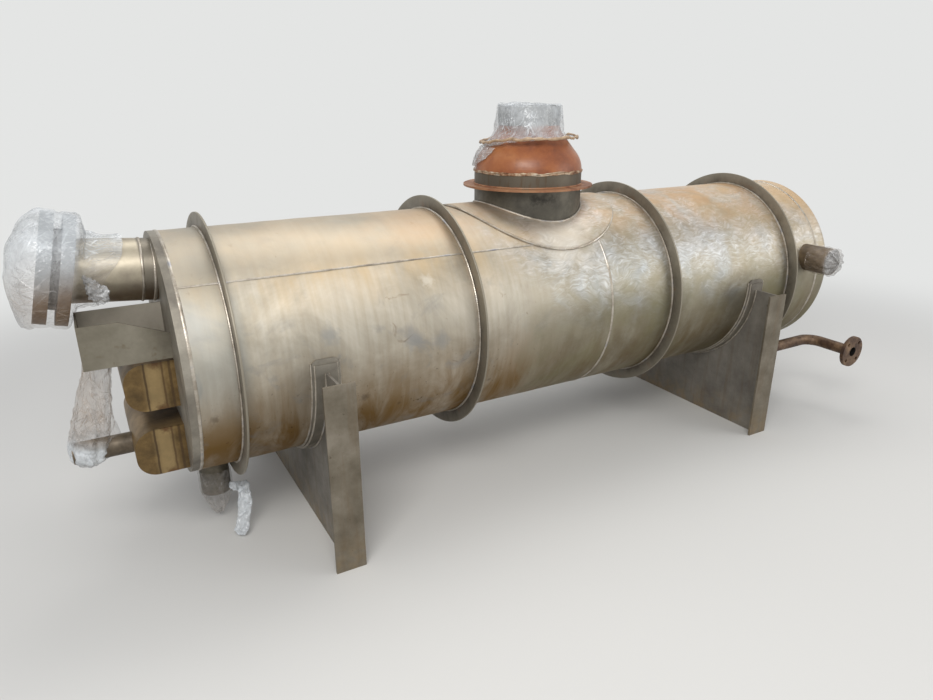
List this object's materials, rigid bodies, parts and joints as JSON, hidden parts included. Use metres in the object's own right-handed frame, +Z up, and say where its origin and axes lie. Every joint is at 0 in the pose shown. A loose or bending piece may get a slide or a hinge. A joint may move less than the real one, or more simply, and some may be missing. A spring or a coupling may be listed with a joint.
{
  "type": "horizontal shell and tube heat exchanger on plate saddles",
  "caption": "Horizontal cylindrical steel vessel on two plate saddles, with stiffening rings, a tall top nozzle, a wrapped flanged inlet and a side drain; exchanges heat between two fluids.",
  "frame": {"origin": "middle of the foot of the fixed saddle, the one nearer the flanged inlet, on the ground", "axes": "+X along the shell towards the closing head, +Y away from the drain flange, +Z up"},
  "size_m": [3.8375, 1.242, 1.6145],
  "materials": {
    "mill_stainless": "rolled stainless plate, mill finish, warm grey with brown stains and weld heat tint",
    "ground_stainless": "stainless plate ground in swirls, bright, with blue-white and rust-orange patches",
    "plate_steel": "cut stainless plate, dull grey-brown with bright edges",
    "saddle_plate": "matte stainless plate with dirt and scratches",
    "rusty_plate": "steel with a thin tan rust film",
    "rusty_steel": "carbon steel, orange-brown surface rust",
    "tinted_stainless": "stainless plate with a golden heat and oil tint and brown spots",
    "stretch_film": "clear crumpled stretch film, several layers"
  },
  "bodies": {
    "root": {"shell_left_course": "mill_stainless", "shell_right_course": "ground_stainless", "left_end_plate": "plate_steel", "right_head": "mill_stainless", "stiffening_ring_1": "plate_steel", "stiffening_ring_2": "plate_steel", "stiffening_ring_3": "plate_steel", "stiffening_ring_4": "plate_steel", "nozzle_pad": "mill_stainless", "nozzle_neck": "plate_steel", "nozzle_collar": "rusty_plate", "reducer": "rusty_steel", "top_pipe_end": "rusty_steel", "top_film": "stretch_film", "inlet_pipe": "mill_stainless", "inlet_flange": "rusty_steel", "inlet_spacer": "rusty_steel", "inlet_blind_flange": "rusty_steel", "inlet_film": "stretch_film", "return_box_upper": "tinted_stainless", "return_box_upper_covers": "tinted_stainless", "return_box_lower": "tinted_stainless", "return_box_lower_covers": "tinted_stainless", "bracket_front_plate": "plate_steel", "bracket_back_plate": "plate_steel", "bracket_end_plate": "plate_steel", "lower_stub_pipe": "rusty_plate", "lower_stub_film": "stretch_film", "bottom_outlet_pipe": "mill_stainless", "bottom_outlet_film": "stretch_film", "film_tail": "stretch_film", "side_nozzle_pipe": "rusty_plate", "side_nozzle_film": "stretch_film", "drain_pipe": "rusty_steel", "drain_leg": "rusty_steel", "drain_flange": "rusty_steel", "left_saddle_web": "saddle_plate", "left_saddle_side_plates": "saddle_plate", "left_saddle_pad": "plate_steel", "left_saddle_cradle": "plate_steel", "right_saddle_web": "saddle_plate", "right_saddle_side_plates": "saddle_plate", "right_saddle_pad": "plate_steel", "right_saddle_cradle": "plate_steel"}
  },
  "joints": []
}
